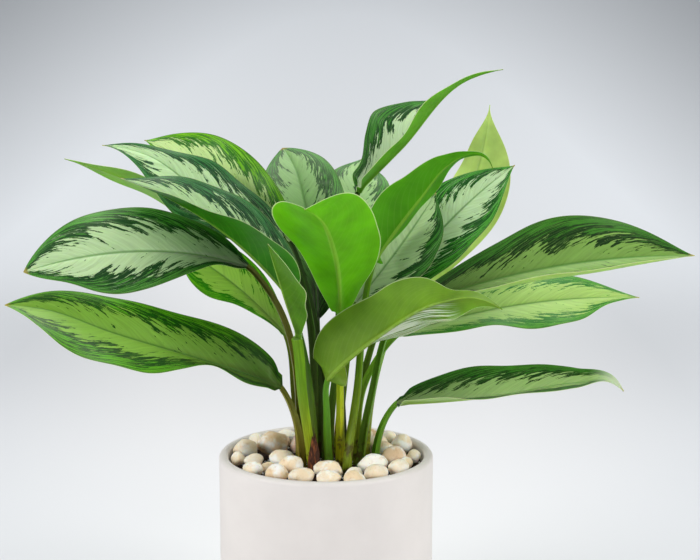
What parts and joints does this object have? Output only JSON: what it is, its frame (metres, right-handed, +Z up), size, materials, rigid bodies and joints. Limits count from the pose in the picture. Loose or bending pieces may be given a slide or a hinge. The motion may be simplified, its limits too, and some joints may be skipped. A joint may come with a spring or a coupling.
{
  "type": "potted chinese evergreen",
  "caption": "Leafy chinese evergreen house plant with broad silver-and-green lance-shaped leaves on upright stalks, in a straight round ceramic pot of soil topped with pebbles",
  "frame": {"origin": "centre of the pot's flat underside, on the surface that the pot stands on", "axes": "+Z up along the pot's axis, +X to the right and -Y towards the viewer of the plant's front"},
  "size_m": [0.5493, 0.279, 0.4849],
  "materials": {
    "pot": "matte off-white",
    "potting_soil": "dark crumbly potting mix",
    "pebble": "smooth worn, cream to beige",
    "leaf": "satin leaf, silver centre and dark green margins",
    "dry_sheath": "dry papery brown"
  },
  "bodies": {
    "root": {"dry_sheath": "dry_sheath", "leaf_01_low_left": "leaf", "leaf_02_mid_left": "leaf", "leaf_03_far_left": "leaf", "leaf_04_upper_left": "leaf", "leaf_05_trough_left": "leaf", "leaf_06_back_left": "leaf", "leaf_07_back": "leaf", "leaf_08_front": "leaf", "leaf_09_top_right": "leaf", "leaf_10_back_small": "leaf", "leaf_11_curled_right": "leaf", "leaf_12_upper_right": "leaf", "leaf_13_back_right": "leaf", "leaf_14_inner_right": "leaf", "leaf_15_long_right": "leaf", "leaf_16_right": "leaf", "leaf_17_low_right": "leaf", "leaf_18_front_right": "leaf", "leaf_19_lower_left": "leaf", "leaf_20_rolled": "leaf", "pebble_01": "pebble", "pebble_02": "pebble", "pebble_03": "pebble", "pebble_04": "pebble", "pebble_05": "pebble", "pebble_06": "pebble", "pebble_07": "pebble", "pebble_08": "pebble", "pebble_09": "pebble", "pebble_10": "pebble", "pebble_11": "pebble", "pebble_12": "pebble", "pebble_13": "pebble", "pebble_14": "pebble", "pebble_15": "pebble", "pebble_16": "pebble", "pebble_17": "pebble", "pebble_18": "pebble", "pebble_19": "pebble", "pebble_20": "pebble", "pebble_21": "pebble", "pebble_22": "pebble", "pebble_23": "pebble", "pebble_24": "pebble", "pebble_25": "pebble", "pebble_26": "pebble", "pebble_27": "pebble", "pebble_28": "pebble", "pebble_29": "pebble", "pebble_30": "pebble", "pebble_31": "pebble", "pebble_32": "pebble", "pebble_33": "pebble", "pebble_34": "pebble", "pebble_35": "pebble", "pebble_36": "pebble", "pot": "pot", "potting_soil": "potting_soil"}
  },
  "joints": []
}
